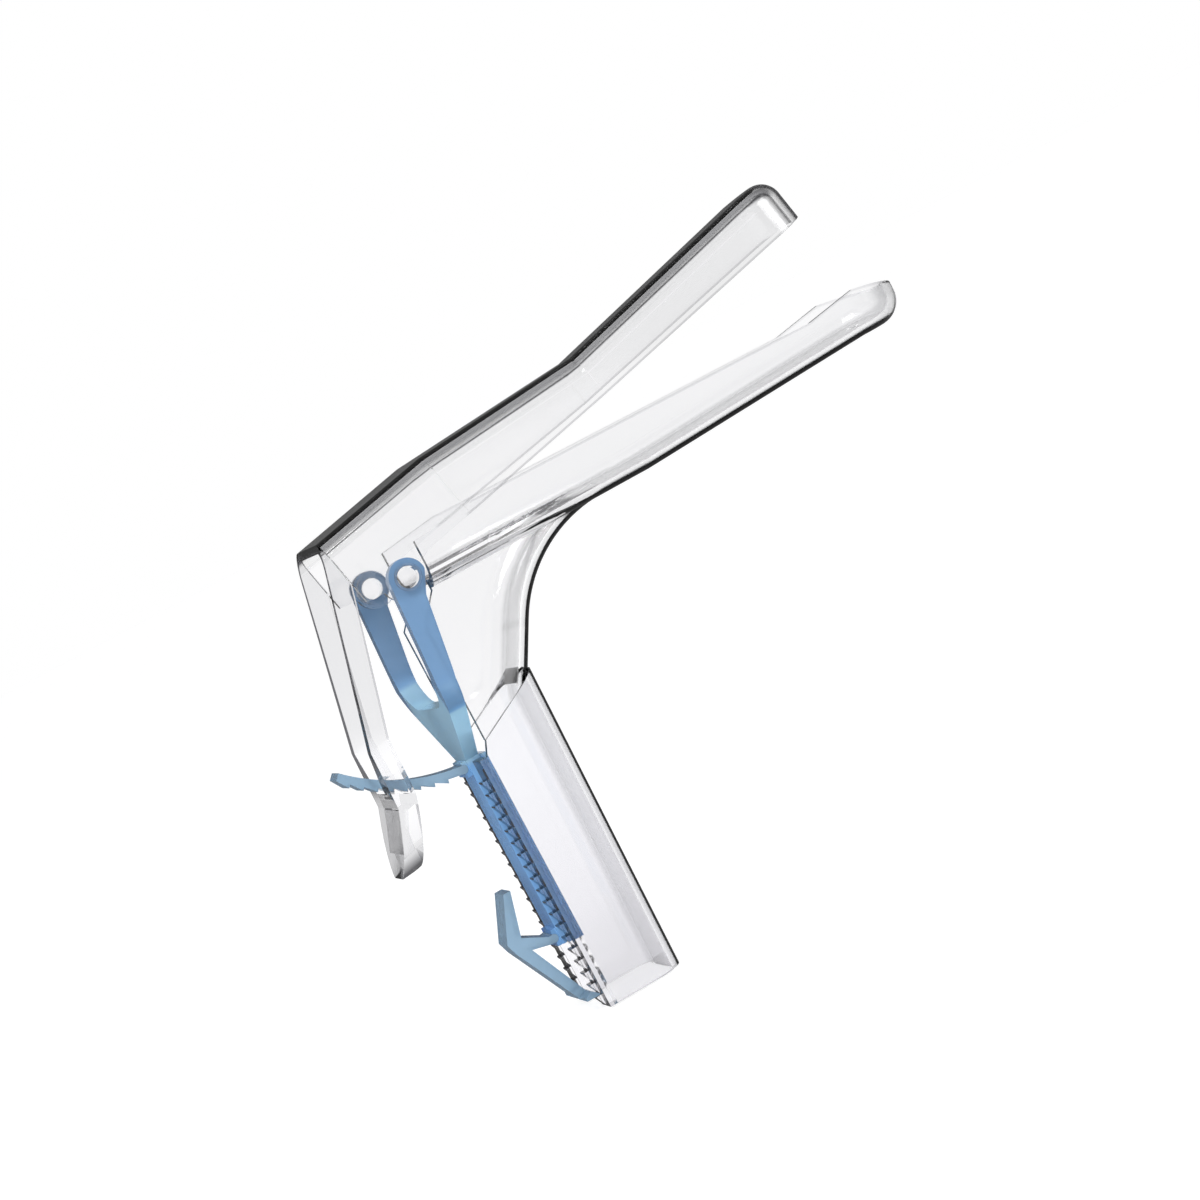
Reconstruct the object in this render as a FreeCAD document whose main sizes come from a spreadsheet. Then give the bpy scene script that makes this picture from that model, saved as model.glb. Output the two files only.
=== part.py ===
"""A disposable bivalve speculum: clear blades and handle, blue yoke, latch and ratchet.

Lengths are millimetres. Z points up along the handle, X forward along the blades and Y to the
side. The origin is the middle of the handle's open foot. Every piece is drawn around the blade
pivot, an axis along Y, and then placed at the pivot's height. The upper blade and its lever are
drawn closed and placed opened by the resting angle.
"""
import FreeCAD, Part

import math
import os

import Sketcher

doc = FreeCAD.newDocument("bivalve_speculum")
sheet = doc.addObject("Spreadsheet::Sheet", "Dims")

# Driving dimensions: alias, value, meaning
DIMENSIONS = [
    ("pivot_height", 105, "blade pivot above the handle's foot"),
    ("rest_opening", 12, "angle of the upper blade at rest, from closed, degrees"),
    ("wall", 2, "wall of the lower blade and funnel"),
    ("upper_wall", 1.8, "wall of the upper blade and hood"),
    ("nest_gap", 1, "side gap between the closed blades"),
    ("blade_half_width", 13.3, "half the width of the lower blade"),
    ("blade_corner", 6, "outer radius along the lower blade's bottom edges"),
    ("blade_floor", 4.9, "underside of the funnel, below the pivot"),
    ("tip_floor", 1.5, "underside of the lower blade at its round tip, below the pivot"),
    ("lower_reach", 124.5, "centre of the lower blade's round tip, ahead of the pivot"),
    ("rim_rear", 8, "rim of the lower blade at the funnel, above the pivot"),
    ("rim_front", 7, "rim of the lower blade where it begins to rise to the tip"),
    ("rim_peak", 9.2, "rim of the lower blade where its tip begins to narrow"),
    ("rim_tip", 6.3, "rim of the lower blade at its tip"),
    ("rim_length", 112, "where the lower rim begins to rise, ahead of the pivot"),
    ("droop_radius", 70, "radius of the rim where it droops round the tip"),
    ("rim_drop", 2, "how far the rim falls at the funnel's rear edge"),
    ("funnel_rear", 5.8, "rear edge of the funnel sides, ahead of the pivot"),
    ("flare_rear", 21, "where funnel and hood begin to narrow, ahead of the pivot"),
    ("flare_front", 64, "where both blades become straight, ahead of the pivot"),
    ("flare_side", 7.7, "how far each funnel side flares out"),
    ("elbow_radius", 33, "radius of the bend from handle to blade, on its front"),
    ("elbow_lean", 30, "lean of the funnel's front under that bend, degrees"),
    ("skirt_rear", 0.5, "rear edge of the funnel walls below the flare"),
    ("skirt_top", 12, "where that edge meets the flared side, below the pivot"),
    ("seam_drop", 31.3, "seam on the handle's front, below the pivot"),
    ("seam_slope", 27.2, "fall of the seam towards the rear, degrees"),
    ("handle_front", 17.4, "front of the funnel's foot at the seam, ahead of the pivot"),
    ("foot_front", 16.5, "front of the handle at its foot, ahead of the pivot"),
    ("handle_rear", 3, "rear face of the handle, behind the pivot"),
    ("handle_lip", 0.6, "how far the handle stands proud of the funnel"),
    ("handle_wall", 1.8, "wall of the handle"),
    ("rear_lip", 2, "thickness of the lips beside the stem's slot"),
    ("web_gap", 0.8, "clearance between those lips and the yoke's web"),
    ("slide_gap", 0.3, "clearance of the stem between the lips"),
    ("rack_pitch", 3, "pitch of the rack on the handle"),
    ("rack_depth", 1.1, "depth of the rack teeth"),
    ("rack_bottom", 2.8, "lowest tooth ledge above the handle's foot"),
    ("rack_width", 4, "width of the rack teeth"),
    ("rack_gap", 0.4, "clearance of the rack teeth from the edge of the slot"),
    ("hood_rear", 9, "rear edge of the hood, behind the pivot"),
    ("hood_crown", 17.4, "top of the hood above the pivot, blades closed"),
    ("blade_crown", 12.3, "top of the upper blade at the end of its hood, blades closed"),
    ("tip_crown", 15.2, "top of the upper blade's round tip, above the pivot, blades closed"),
    ("upper_corner", 5, "outer radius along the top edges of hood and upper blade"),
    ("upper_reach", 118.5, "centre of the upper blade's round tip, ahead of the pivot"),
    ("upper_rim", 1.2, "rim of the hood, above the pivot"),
    ("upper_rim_tip", 3.1, "rim of the upper blade at its tip"),
    ("lobe_radius", 4.8, "round lobe of the hood about the pivot"),
    ("lobe_run", 4, "slope from that lobe up to the rim, front to back"),
    ("boss_radius", 3.6, "boss that spaces the hood from the yoke"),
    ("pin_radius", 2.4, "pivot pin"),
    ("pin_head", 0.6, "rim of the snap head on the pivot pin, past the pin"),
    ("head_length", 1, "length of that snap head"),
    ("pin_gap", 0.06, "clearance of the pivot pin in the yoke's ear"),
    ("side_gap", 0.25, "side play of the ears"),
    ("arm_inside", 21.5, "inner face of the yoke's arms from the middle"),
    ("arm_thickness", 3.5, "thickness of the yoke's arms"),
    ("ear_radius", 4.2, "round ear at the top of each arm"),
    ("arm_front", 1.8, "front of the arms under the ear, ahead of the pivot"),
    ("arm_rear", 5.5, "rear of the arms where they meet the web, behind the pivot"),
    ("arm_drop", 24, "where the arms meet the web, below the pivot"),
    ("web_front", 1, "front face of the yoke's web, behind the pivot"),
    ("web_top", 29, "upper edge of the web, below the pivot"),
    ("web_slope", 39.6, "slope of the web's lower edges, degrees"),
    ("web_inner_radius", 11, "inner radius between arm and web"),
    ("web_outer_radius", 12, "outer radius between arm and web"),
    ("stem_rear", 4.1, "rear face of the stem, behind the pivot"),
    ("stem_front", 0.3, "front face of the stem's inner flange, ahead of the pivot"),
    ("stem_end", 16, "lower end of the stem above the handle's foot"),
    ("neck_half_width", 5.4, "half the width of the stem between the lips"),
    ("flange_reach", 2.2, "how far the inner flange reaches behind each lip"),
    ("strip_radius", 45.4, "root radius of the ratchet strip's teeth, from the pivot"),
    ("strip_thickness", 1.8, "thickness of the strip under its teeth"),
    ("strip_half_width", 4.6, "half the width of the strip"),
    ("tooth_height", 0.9, "height of the strip's teeth"),
    ("tooth_pitch", 4, "pitch of the strip's teeth, degrees about the pivot"),
    ("tooth_count", 8, "number of teeth on the strip"),
    ("latch_angle", 28, "the lever's nose at rest, degrees behind straight down"),
    ("knuckle_radius", 1, "round root of the strip and of the latch"),
    ("knuckle_gap", 0.06, "clearance of those round roots"),
    ("knuckle_setback", 1.2, "centre of those roots behind the stem"),
    ("root_depth", 1.6, "root of the strip below the web's lower edge"),
    ("latch_height", 2, "root of the latch above the stem's end"),
    ("lever_depth", 5.2, "depth of the lever's rails, front to back"),
    ("lever_root", 11.4, "depth of the lever where it meets the hood"),
    ("rail_width", 4, "width of the lever's rails"),
    ("lever_waist", 12.6, "half the width of the lever at its rounded end"),
    ("rail_drop", 25, "where the rails stop converging, below the pivot, blades closed"),
    ("rail_back", 29, "rear face of the lever there, behind the pivot"),
    ("pad_drop", 38, "where the thumb pad kicks back, below the pivot, blades closed"),
    ("pad_back", 32.2, "rear face of the lever there, behind the pivot"),
    ("lever_drop", 51.5, "end of the thumb pad, below the pivot, blades closed"),
    ("lever_back", 40.5, "end of the thumb pad, behind the pivot, blades closed"),
    ("lever_lip", 1, "how far the pad's front face ends below its rear face"),
    ("pad_web", 2, "thickness of the thumb pad's web"),
    ("slot_gap", 0.4, "clearance of the strip in the lever"),
    ("nose_gap", 0.1, "clearance of the lever's nose from the strip"),
    ("nose_length", 2.2, "length of the nose along the strip"),
    ("tab_height", 16.2, "thumb tab of the latch above the stem's end"),
    ("tab_back", 6.7, "thumb tab's tip behind the stem"),
    ("latch_corner_back", 10.4, "corner of the latch behind the stem"),
    ("latch_corner_rise", 4, "corner of the latch above the stem's end"),
    ("latch_thickness", 1.8, "thickness of the latch's arms"),
    ("pawl_gap", 0.1, "clearance of the pawl from the rack"),
    ("pawl_height", 1.6, "height of the pawl's nose"),
    ("pawl_back", 0.5, "clearance of the latch's arm from the rack's tips"),
]

BLANK = 30                  # reach of a blank or a cut past anything it has to clear
OVERCUT = 1                 # how far an inner cut runs past the open side of its blank
TOOTH_SHARE = 0.85          # share of the rack's pitch that one tooth takes
TEETH_BEFORE = 3            # teeth that the lever's nose has passed at rest
SLOT_REACH = 20             # how far the lever's slot for the strip turns each way, degrees
DEGREES = 180 / math.pi     # degrees in a radian


class Size:
    """A number together with the sheet expression that gives it."""

    def __init__(self, value, text=None):
        self.value = float(value)
        self.text = text or repr(float(value))

    def join(self, other, sign, value):
        other = size(other)
        return Size(value(self.value, other.value), f"({self.text} {sign} {other.text})")

    def __add__(self, other):
        return self.join(other, "+", lambda a, b: a + b)

    def __sub__(self, other):
        return self.join(other, "-", lambda a, b: a - b)

    def __mul__(self, other):
        return self.join(other, "*", lambda a, b: a * b)

    def __truediv__(self, other):
        return self.join(other, "/", lambda a, b: a / b)

    def __neg__(self):
        return Size(-self.value, f"(-1 * {self.text})")

    __radd__ = __add__
    __rmul__ = __mul__

    def __rsub__(self, other):
        return size(other) - self


def size(value):
    return value if isinstance(value, Size) else Size(value)


def sine(angle):
    angle = size(angle)
    return Size(math.sin(math.radians(angle.value)), f"sin({angle.text})")


def cosine(angle):
    angle = size(angle)
    return Size(math.cos(math.radians(angle.value)), f"cos({angle.text})")


def tangent(angle):
    return sine(angle) / cosine(angle)


def angle_with(rise, run):
    """The angle whose tangent is rise over run, in degrees."""
    rise, run = size(rise), size(run)
    return Size(math.degrees(math.atan2(rise.value, run.value)), f"atan({rise.text} / {run.text})")


def side_of(longest, other):
    """The third side of a right triangle."""
    longest, other = size(longest), size(other)
    value = math.sqrt(longest.value ** 2 - other.value ** 2)
    return Size(value, f"sqrt({longest.text} ^ 2 - {other.text} ^ 2)")


def whole(value):
    """The whole number at or under a value."""
    return Size(math.floor(value.value), f"floor({value.text})")


class Dimensions:
    """The sheet's named values, each as a Size."""

    def __init__(self, rows):
        for number, (alias, value, meaning) in enumerate(rows, start=1):
            sheet.set(f"A{number}", alias)
            sheet.set(f"B{number}", str(value))
            sheet.set(f"C{number}", meaning)
            sheet.setAlias(f"B{number}", alias)
            setattr(self, alias, Size(value, f"Dims.{alias}"))
        doc.recompute()


D = Dimensions(DIMENSIONS)


# Sketching helpers

def polar(radius, angle):
    """A point of the XZ plane at a radius from the pivot, an angle behind straight down."""
    return -(radius * sine(angle)), -(radius * cosine(angle))


def bind(target, name, value):
    target.setExpression(name, size(value).text)


def new_body(name):
    body = doc.addObject("PartDesign::Body", name)
    body.Label = name
    return body


def new_sketch(body, name, plane, shift=(0, 0, 0), lean=None):
    """An empty sketch on one of the body's planes, moved by shift and leaning about its own Y."""
    sketch = body.newObject("Sketcher::SketchObject", name)
    support = [f for f in body.Origin.OriginFeatures if f.Role == plane][0]
    sketch.AttachmentSupport = [(support, "")]
    sketch.MapMode = "FlatFace"
    if lean is not None:
        turn = FreeCAD.Rotation(FreeCAD.Vector(0, 1, 0), lean.value)
        sketch.AttachmentOffset = FreeCAD.Placement(FreeCAD.Vector(0, 0, 0), turn)
        bind(sketch, "AttachmentOffset.Rotation.Angle", lean)
    for axis, value in zip("xyz", shift):
        bind(sketch, f"AttachmentOffset.Base.{axis}", value)
    return sketch


def fix_point(sketch, edge, end, x, y):
    for kind, value in (("DistanceX", x), ("DistanceY", y)):
        index = sketch.addConstraint(Sketcher.Constraint(kind, -1, 1, edge, end, value.value))
        bind(sketch, f"Constraints[{index}]", value)


def arc_between(start, end, radius, turn):
    """The shorter arc from start to end; turn is 1 when it curves to the left, -1 to the right."""
    chord = end - start
    half = chord.Length / 2
    height = math.sqrt(max(radius ** 2 - half ** 2, 0))
    left = FreeCAD.Vector(-chord.y, chord.x, 0).normalize()
    center = (start + end) * 0.5 + left * (height * turn)
    first, last = (start, end) if turn > 0 else (end, start)
    angles = [math.atan2(p.y - center.y, p.x - center.x) for p in (first, last)]
    circle = Part.Circle(center, FreeCAD.Vector(0, 0, 1), radius)
    return Part.ArcOfCircle(circle, angles[0], angles[1])


def draw_outline(sketch, path):
    """A closed outline. An item is (x, y), reached by a line, or (x, y, radius, turn), by an arc."""
    points = [(size(item[0]), size(item[1])) for item in path]
    places = [FreeCAD.Vector(x.value, y.value, 0) for x, y in points]
    ends = []
    for index, item in enumerate(path):
        start, end = places[index - 1], places[index]
        if len(item) == 2:
            edge = sketch.addGeometry(Part.LineSegment(start, end))
            first, last = 1, 2
        else:
            radius, turn = size(item[2]), item[3]
            edge = sketch.addGeometry(arc_between(start, end, radius.value, turn))
            first, last = (1, 2) if turn > 0 else (2, 1)
            limit = sketch.addConstraint(Sketcher.Constraint("Radius", edge, radius.value))
            bind(sketch, f"Constraints[{limit}]", radius)
        fix_point(sketch, edge, first, *points[index - 1])
        ends.append((edge, first, last))
    for index, (edge, first, last) in enumerate(ends):
        before = ends[index - 1]
        sketch.addConstraint(Sketcher.Constraint("Coincident", before[0], before[2], edge, first))


def draw_circle(sketch, x, y, radius):
    center = FreeCAD.Vector(size(x).value, size(y).value, 0)
    circle = Part.Circle(center, FreeCAD.Vector(0, 0, 1), size(radius).value)
    edge = sketch.addGeometry(circle)
    fix_point(sketch, edge, 3, size(x), size(y))
    limit = sketch.addConstraint(Sketcher.Constraint("Radius", edge, size(radius).value))
    bind(sketch, f"Constraints[{limit}]", radius)


def outline(body, name, plane, path, shift=(0, 0, 0), lean=None):
    sketch = new_sketch(body, name, plane, shift, lean)
    draw_outline(sketch, path)
    return sketch


def frame_outline(body, name, plane, path):
    """An outline inside a large square: what a cut through it leaves is the outline."""
    sketch = outline(body, name, plane, path)
    reach = 2 * D.pivot_height
    draw_outline(sketch, [(-reach, -reach), (reach, -reach), (reach, reach), (-reach, reach)])
    return sketch


def feature(body, kind, name, profile, **settings):
    item = body.newObject(f"PartDesign::{kind}", name)
    item.Profile = profile
    for key, value in settings.items():
        if isinstance(value, Size):
            bind(item, key, value)
        else:
            setattr(item, key, value)
    body.Tip = item
    return item


def pad(body, name, sketch, length, both_ways=True, reverse=False):
    side = "Symmetric" if both_ways else "One side"
    return feature(body, "Pad", name, sketch, SideType=side, Reversed=reverse, Length=size(length))


def cut(body, name, sketch, length, both_ways=True, reverse=False):
    side = "Symmetric" if both_ways else "One side"
    return feature(
        body, "Pocket", name, sketch, SideType=side, Reversed=reverse, Length=size(length)
    )


def turn_about(body, kind, name, sketch, angle, both_ways=False, reverse=False):
    """A Revolution or Groove about the sketch's upright axis."""
    item = feature(body, kind, name, sketch, Reversed=reverse, Midplane=both_ways, Angle=angle)
    item.ReferenceAxis = (sketch, ["V_Axis"])
    return item


def loft(body, kind, name, sections, ruled=False):
    return feature(body, kind, name, sections[0], Sections=sections[1:], Ruled=ruled)


# The blades' shared forms: wide at the funnel, narrowing between two places, then straight

def lower_wide():
    return D.blade_half_width + D.flare_side


def upper_narrow():
    return D.blade_half_width - D.wall - D.nest_gap


def upper_wide():
    return lower_wide() - D.wall - D.nest_gap


def cup_path(half_width, floor, top, corner):
    """A U that is open upwards, drawn closed along its top."""
    return [
        (-half_width, top),
        (-half_width, corner - floor),
        (corner - half_width, -floor, corner, 1),
        (half_width - corner, -floor),
        (half_width, corner - floor, corner, 1),
        (half_width, top),
    ]


def arch_path(half_width, crown, bottom, corner):
    """A U that is open downwards, drawn closed along its bottom."""
    return [
        (half_width, bottom),
        (half_width, crown - corner),
        (half_width - corner, crown, corner, 1),
        (corner - half_width, crown),
        (-half_width, crown - corner, corner, 1),
        (-half_width, bottom),
    ]


def section(body, name, path, x):
    return outline(body, name, "YZ_Plane", path, (0, 0, x))


def stretch(body, name, profile, length, solid, rise=None):
    """A straight stretch ahead of a cross-section, level or rising, added or taken out."""
    make = pad if solid else cut
    item = make(body, name, profile, length, both_ways=False, reverse=not solid)
    if rise is not None:
        item.Reversed = False
        item.UseCustomVector = True
        item.AlongSketchNormal = True
        item.Direction = FreeCAD.Vector(length.value, 0, rise.value)
        bind(item, "Direction.x", length)
        bind(item, "Direction.z", rise)
    return item


# The strip's root and what hangs from it

def root_back():
    return D.stem_rear + D.knuckle_setback


def strip_middle():
    """Radius of the middle of the strip's thickness, from the pivot."""
    return D.strip_radius - D.strip_thickness / 2


def root_drop():
    return side_of(strip_middle(), root_back())


def web_bottom():
    return root_drop() - D.root_depth


def lip_drop():
    return web_bottom() + D.web_gap


def stem_bottom():
    return D.pivot_height - D.stem_end


# The pieces

def elbow_path(inset):
    """Cross-section of the bend, its axis at zero and its round front towards it."""
    front = -(D.elbow_radius + inset)
    rear = -(D.elbow_radius + BLANK)
    half_width = D.blade_half_width - inset
    corner = D.blade_corner - inset
    return [
        (rear - inset, -half_width),
        (front - corner, -half_width),
        (front, corner - half_width, corner, 1),
        (front, half_width - corner),
        (front - corner, half_width, corner, 1),
        (rear - inset, half_width),
    ]


def elbow_center():
    """Axis of the bend, which leads from the underside of the blade to the leaning front."""
    turn = 90 - D.elbow_lean
    bend_drop = D.blade_floor + D.elbow_radius * (1 - cosine(turn))
    bend_run = D.elbow_radius * sine(turn) + (D.seam_drop - bend_drop) * tangent(D.elbow_lean)
    return D.handle_front + bend_run, 0, -(D.blade_floor + D.elbow_radius)


def lower_section(body, name, x, half_width, floor, inset):
    top = BLANK + size(inset)
    path = cup_path(half_width - inset, floor - inset, top, D.blade_corner - inset)
    return section(body, name, path, x)


def lower_form(body, prefix, inset, solid):
    """The solid of the funnel, blade and bend; inset by the wall it is their hollow."""
    loft_kind, turn_kind = ("AdditiveLoft", "Revolution") if solid else ("SubtractiveLoft", "Groove")
    wide = (lower_wide(), D.blade_floor)
    narrow = (D.blade_half_width, D.blade_floor)
    rear = D.funnel_rear - OVERCUT
    funnel = lower_section(body, f"{prefix}FunnelProfile", rear, *wide, inset)
    stretch(body, f"{prefix}Funnel", funnel, D.flare_rear - rear, solid)
    flare = [
        lower_section(body, f"{prefix}FlareRear", D.flare_rear, *wide, inset),
        lower_section(body, f"{prefix}FlareFront", D.flare_front, *narrow, inset),
    ]
    loft(body, loft_kind, f"{prefix}Flare", flare, ruled=True)
    blade = lower_section(body, f"{prefix}BladeProfile", D.flare_front, *narrow, inset)
    length = D.lower_reach - D.flare_front
    stretch(body, f"{prefix}Blade", blade, length, solid, rise=D.blade_floor - D.tip_floor)
    corner = D.blade_corner - inset
    half_width = D.blade_half_width - inset
    floor = D.tip_floor - inset
    top = BLANK + size(inset)
    tip = outline(body, f"{prefix}TipProfile", "XZ_Plane", [
        (0, top),
        (0, -floor),
        (half_width - corner, -floor),
        (half_width, corner - floor, corner, 1),
        (half_width, top),
    ], (D.lower_reach, 0, 0))
    turn_about(body, turn_kind, f"{prefix}Tip", tip, 180, both_ways=True)
    lean = D.elbow_lean
    path = elbow_path(inset)
    bend = outline(body, f"{prefix}BendProfile", "XY_Plane", path, elbow_center(), lean)
    turn_about(body, turn_kind, f"{prefix}Bend", bend, 90 - lean)
    foot = outline(body, f"{prefix}FootProfile", "XY_Plane", path, elbow_center(), lean)
    make = pad if solid else cut
    make(body, f"{prefix}Foot", foot, BLANK, both_ways=False, reverse=solid)


def seam_height(x):
    """Height of the seam plane at a distance ahead of the pivot."""
    return (x - D.handle_front) * tangent(D.seam_slope) - D.seam_drop


def lower_blade():
    body = new_body("lower_blade")
    lower_form(body, "Outer", size(0), solid=True)
    lower_form(body, "Inner", D.wall, solid=False)
    tip = D.lower_reach + D.blade_half_width
    side = [
        (D.skirt_rear, seam_height(D.skirt_rear)),
        (D.handle_front + OVERCUT, seam_height(D.handle_front + OVERCUT)),
        (tip + OVERCUT, seam_height(D.handle_front + OVERCUT)),
        (tip + OVERCUT, D.rim_tip),
        (tip, D.rim_tip),
        (D.lower_reach, D.rim_peak, D.droop_radius, 1),
        (D.rim_length, D.rim_front),
        (D.flare_rear, D.rim_rear),
        (D.funnel_rear, D.rim_rear - D.rim_drop),
        (D.funnel_rear, D.skirt_rear - D.skirt_top / 2),
        (D.skirt_rear, -D.skirt_top),
    ]
    trim = frame_outline(body, "SideProfile", "XZ_Plane", side)
    cut(body, "SideTrim", trim, 4 * BLANK)
    return body


def handle_path(front, inset):
    """Cross-section of the grip, open past its rear wall."""
    half_width = D.blade_half_width + D.handle_lip - inset
    corner = D.blade_corner + D.handle_lip - inset
    front = front - inset
    return [
        (-BLANK, -half_width),
        (front - corner, -half_width),
        (front, corner - half_width, corner, 1),
        (front, half_width - corner),
        (front - corner, half_width, corner, 1),
        (-BLANK, half_width),
    ]


def handle():
    """The hollow grip: its front leans back towards the foot, its rear wall stands upright."""
    body = new_body("handle")
    lean = angle_with(D.handle_front + D.handle_lip - D.foot_front, D.pivot_height - D.seam_drop)
    foot = (0, 0, -D.pivot_height)
    front = D.foot_front * cosine(lean)
    height = 2 * D.pivot_height - BLANK
    for make, prefix, inset in ((pad, "Outer", size(0)), (cut, "Inner", D.handle_wall)):
        ring = outline(body, f"{prefix}Ring", "XY_Plane", handle_path(front, inset), foot, lean)
        make(body, f"{prefix}Shell", ring, height)
    half_width = D.blade_half_width + D.handle_lip
    inner_face = D.rear_lip - D.handle_rear
    half_slot = D.neck_half_width + D.slide_gap
    for number, side in enumerate((1, -1)):
        lip = outline(body, f"LipProfile{number}", "XY_Plane", [
            (-D.handle_rear, side * half_slot),
            (inner_face, side * half_slot),
            (inner_face, side * half_width),
            (-D.handle_rear, side * half_width),
        ], foot)
        pad(body, f"Lip{number}", lip, height)
    front_reach = D.handle_front + D.handle_lip + OVERCUT
    side_trim = frame_outline(body, "SideProfile", "XZ_Plane", [
        (-D.handle_rear, -lip_drop()),
        (-D.handle_rear, -D.pivot_height),
        (front_reach, -D.pivot_height),
        (front_reach, seam_height(front_reach)),
        (D.skirt_rear, seam_height(D.skirt_rear)),
        (-D.web_front, -lip_drop()),
    ])
    cut(body, "SideTrim", side_trim, 4 * BLANK)
    add_rack(body)
    return body


def rack_middle():
    """Middle of each lip's rack, from the middle of the handle."""
    return D.neck_half_width + D.slide_gap + D.rack_gap + D.rack_width / 2


def add_rack(body):
    """Teeth on the rear face of both lips, each with a level ledge on top."""
    ledge = D.rack_bottom - D.pivot_height
    foot = ledge - TOOTH_SHARE * D.rack_pitch
    face = -D.handle_rear
    teeth = []
    for number, side in enumerate((1, -1)):
        middle = side * rack_middle()
        tooth = outline(body, f"ToothProfile{number}", "XZ_Plane", [
            (face + D.rack_depth / 2, ledge),
            (face - D.rack_depth, ledge),
            (face - D.rack_depth, ledge - D.rack_depth / 3),
            (face, foot),
            (face + D.rack_depth / 2, foot),
        ], (0, 0, -middle))
        teeth.append(pad(body, f"Tooth{number}", tooth, D.rack_width))
    rack = body.newObject("PartDesign::LinearPattern", "Rack")
    rack.Originals = teeth
    rack.Direction = (origin_item(body, "Z_Axis"), [""])
    rack.Mode = "Spacing"
    bind(rack, "Offset", D.rack_pitch)
    rack_height = D.pivot_height - lip_drop() - D.rack_bottom
    bind(rack, "Occurrences", whole(rack_height / D.rack_pitch))
    body.Tip = rack


def origin_item(body, role):
    return [f for f in body.Origin.OriginFeatures if f.Role == role][0]


def upper_section(body, name, x, half_width, top, inset):
    bottom = -(D.lobe_radius + OVERCUT + inset)
    path = arch_path(half_width - inset, top - inset, bottom, D.upper_corner - inset)
    return section(body, name, path, x)


def upper_form(body, prefix, inset, solid):
    loft_kind, turn_kind = ("AdditiveLoft", "Revolution") if solid else ("SubtractiveLoft", "Groove")
    wide = (upper_wide(), D.hood_crown)
    narrow = (upper_narrow(), D.blade_crown)
    rear = -(D.hood_rear + inset)
    hood = upper_section(body, f"{prefix}HoodProfile", rear, *wide, inset)
    stretch(body, f"{prefix}Hood", hood, D.flare_rear - rear, solid)
    flare = [
        upper_section(body, f"{prefix}FlareRear", D.flare_rear, *wide, inset),
        upper_section(body, f"{prefix}FlareFront", D.flare_front, *narrow, inset),
    ]
    loft(body, loft_kind, f"{prefix}Flare", flare, ruled=True)
    blade = upper_section(body, f"{prefix}BladeProfile", D.flare_front, *narrow, inset)
    length = D.upper_reach - D.flare_front
    stretch(body, f"{prefix}Blade", blade, length, solid, rise=D.tip_crown - D.blade_crown)
    corner = D.upper_corner - inset
    half_width = upper_narrow() - inset
    top = D.tip_crown - inset
    bottom = -(D.lobe_radius + OVERCUT + inset)
    tip = outline(body, f"{prefix}TipProfile", "XZ_Plane", [
        (0, bottom),
        (half_width, bottom),
        (half_width, top - corner),
        (half_width - corner, top, corner, 1),
        (0, top),
    ], (D.upper_reach, 0, 0))
    turn_about(body, turn_kind, f"{prefix}Tip", tip, 180, both_ways=True)


def upper_blade():
    body = new_body("upper_blade")
    upper_form(body, "Outer", size(0), solid=True)
    arm_outside = D.arm_inside + D.arm_thickness
    for name, radius, reach in (
        ("Boss", D.boss_radius, D.arm_inside - D.side_gap),
        ("Pin", D.pin_radius, arm_outside + D.side_gap + D.head_length),
    ):
        ring = new_sketch(body, f"{name}Profile", "XZ_Plane")
        draw_circle(ring, 0, 0, radius)
        pad(body, name, ring, 2 * reach)
    for number, side in enumerate((1, -1)):
        middle = arm_outside + D.side_gap + D.head_length / 2
        head = new_sketch(body, f"HeadProfile{number}", "XZ_Plane", (0, 0, side * middle))
        draw_circle(head, 0, 0, D.pin_radius + D.pin_head)
        pad(body, f"Head{number}", head, D.head_length)
    upper_form(body, "Inner", D.upper_wall, solid=False)
    lobe = D.lobe_radius
    tip = D.upper_reach + upper_narrow()
    side = [
        (-D.hood_rear, D.upper_rim),
        (-lobe, 0),
        (0, -lobe, lobe, 1),
        (lobe, 0, lobe, 1),
        (lobe + D.lobe_run, D.upper_rim),
        (D.flare_front, D.upper_rim),
        (tip + OVERCUT, D.upper_rim_tip),
        (tip + OVERCUT, D.hood_crown + BLANK),
        (-D.hood_rear, D.hood_crown + BLANK),
    ]
    trim = frame_outline(body, "SideProfile", "XZ_Plane", side)
    cut(body, "SideTrim", trim, 4 * BLANK)
    return body


def lever_side_path():
    """The lever from the side: a bent bar that grows deeper towards the hood."""
    depth = D.lever_depth
    return [
        (-D.hood_rear, D.hood_crown),
        (-D.rail_back, -D.rail_drop),
        (-D.pad_back, -D.pad_drop),
        (-D.lever_back, -D.lever_drop),
        (depth - D.lever_back, -(D.lever_drop + D.lever_lip)),
        (depth - D.pad_back, -D.pad_drop),
        (depth - D.rail_back, -D.rail_drop),
        (-D.hood_rear, D.hood_crown - D.lever_root),
    ]


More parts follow.
